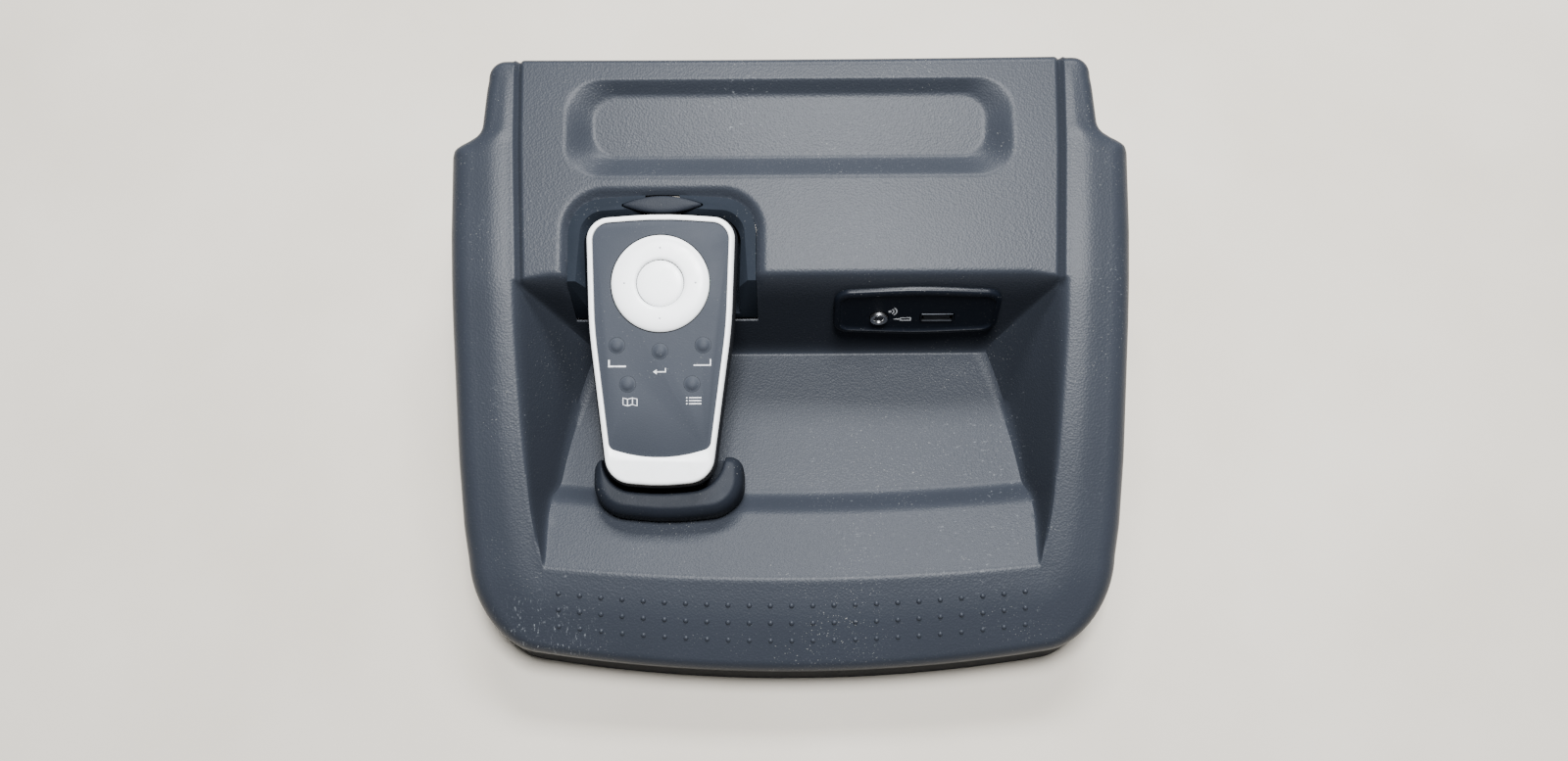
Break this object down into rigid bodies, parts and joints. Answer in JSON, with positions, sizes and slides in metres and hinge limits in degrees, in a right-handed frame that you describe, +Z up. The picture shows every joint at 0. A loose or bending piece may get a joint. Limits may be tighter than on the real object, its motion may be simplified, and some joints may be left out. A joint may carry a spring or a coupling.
{
  "type": "dashboard handset tray",
  "caption": "Dashboard storage tray whose cradle holds a cordless remote handset, with a long panel recess, a dotted front lip, and an audio jack and USB port in its bin.",
  "frame": {"origin": "middle of the whole object's footprint, on the plane that the legs and the front skirt stand on", "axes": "+X across the tray to the right, +Y from the front lip towards the top edge, +Z up out of the panel side"},
  "size_m": [0.2478, 0.218, 0.0717],
  "materials": {
    "tray_plastic": "fine leather-like moulded grain, slate grey",
    "soft_plastic": "soft-touch matt black",
    "case_plastic": "fine spark-eroded matt black",
    "face_rubber": "matt dark grey",
    "silver_paint": "satin silver paint",
    "white_plastic": "satin pearl white",
    "gloss_black": "polished",
    "inner_plastic": "plain moulded",
    "circuit_board": "solder mask",
    "plated_steel": "bright plated",
    "cell_wrap": "printed foil wrap",
    "dark_lens": "polished, infrared-clear"
  },
  "bodies": {
    "tray": {"tray_shell": "tray_plastic", "cradle_dish": "soft_plastic", "cradle_cup": "soft_plastic", "dish_screw_left": "plated_steel", "dish_screw_right": "plated_steel", "cup_screw_left": "plated_steel", "cup_screw_right": "plated_steel", "latch_spring": "plated_steel", "socket_bezel": "gloss_black", "socket_housing": "inner_plastic", "socket_board": "circuit_board", "jack_sleeve": "plated_steel", "usb_shell": "plated_steel", "usb_tongue": "inner_plastic", "socket_connector": "inner_plastic", "socket_screw_left": "plated_steel", "socket_screw_right": "plated_steel", "spring_clip_rear_left": "plated_steel", "spring_clip_rear_right": "plated_steel", "spring_clip_front_left": "plated_steel", "spring_clip_front_right": "plated_steel"},
    "latch": {"latch_button": "soft_plastic"},
    "handset": {"handset_case": "case_plastic", "infrared_window": "dark_lens", "case_screw_1": "plated_steel", "case_screw_2": "plated_steel", "case_screw_3": "plated_steel", "case_screw_4": "plated_steel", "handset_frame": "silver_paint", "handset_face": "face_rubber", "handset_board": "circuit_board", "infrared_lamp": "dark_lens", "switch_left": "inner_plastic", "switch_back": "inner_plastic", "switch_right": "inner_plastic", "switch_map": "inner_plastic", "switch_menu": "inner_plastic", "switch_centre": "inner_plastic", "switch_right_way": "inner_plastic", "switch_up_way": "inner_plastic", "switch_left_way": "inner_plastic", "switch_down_way": "inner_plastic", "battery_cell_left": "cell_wrap", "battery_cell_right": "cell_wrap", "battery_spring_left": "plated_steel", "battery_spring_right": "plated_steel", "battery_contact_left": "plated_steel", "battery_contact_right": "plated_steel"},
    "battery_door": {"battery_door": "case_plastic"},
    "rocker_gimbal": {"rocker_gimbal": "inner_plastic"},
    "rocker_ring": {"rocker_ring": "white_plastic"},
    "centre_key": {"centre_key": "white_plastic"},
    "key_left": {"key_left": "face_rubber"},
    "key_back": {"key_back": "face_rubber"},
    "key_right": {"key_right": "face_rubber"},
    "key_map": {"key_map": "face_rubber"},
    "key_menu": {"key_menu": "face_rubber"}
  },
  "joints": [
    {"name": "latch_press", "type": "slide", "parent": "tray", "child": "latch", "axis": [0, 0.2178, -0.976], "range_m": [0, 0.0018], "stiffness_N_per_m": 800, "springref_m": -0.001},
    {"name": "handset_lift_off", "type": "slide", "parent": "tray", "child": "handset", "axis": [0, -0.2178, 0.976], "range_m": [0, 0.06]},
    {"name": "battery_door_slide", "type": "slide", "parent": "handset", "child": "battery_door", "axis": [0, -0.976, -0.2178], "range_m": [0, 0.005]},
    {"name": "rocker_up_down", "type": "hinge", "parent": "handset", "child": "rocker_gimbal", "pos_m": [-0.04585, 0.02345, 0.05977], "axis": [1, 0, 0], "range_deg": [-2.3, 2.3], "stiffness_Nm_per_rad": 0.4},
    {"name": "rocker_left_right", "type": "hinge", "parent": "rocker_gimbal", "child": "rocker_ring", "pos_m": [-0.04585, 0.02345, 0.05977], "axis": [0, 0.976, 0.2178], "range_deg": [-2.3, 2.3], "stiffness_Nm_per_rad": 0.4},
    {"name": "centre_key_press", "type": "slide", "parent": "handset", "child": "centre_key", "axis": [0, 0.2178, -0.976], "range_m": [0, 0.0006], "stiffness_N_per_m": 1000, "springref_m": -0.0005},
    {"name": "key_left_press", "type": "slide", "parent": "handset", "child": "key_left", "axis": [0, 0.2178, -0.976], "range_m": [0, 0.0005], "stiffness_N_per_m": 1000, "springref_m": -0.0005},
    {"name": "key_back_press", "type": "slide", "parent": "handset", "child": "key_back", "axis": [0, 0.2178, -0.976], "range_m": [0, 0.0005], "stiffness_N_per_m": 1000, "springref_m": -0.0005},
    {"name": "key_right_press", "type": "slide", "parent": "handset", "child": "key_right", "axis": [0, 0.2178, -0.976], "range_m": [0, 0.0005], "stiffness_N_per_m": 1000, "springref_m": -0.0005},
    {"name": "key_map_press", "type": "slide", "parent": "handset", "child": "key_map", "axis": [0, 0.2178, -0.976], "range_m": [0, 0.0005], "stiffness_N_per_m": 1000, "springref_m": -0.0005},
    {"name": "key_menu_press", "type": "slide", "parent": "handset", "child": "key_menu", "axis": [0, 0.2178, -0.976], "range_m": [0, 0.0005], "stiffness_N_per_m": 1000, "springref_m": -0.0005}
  ]
}
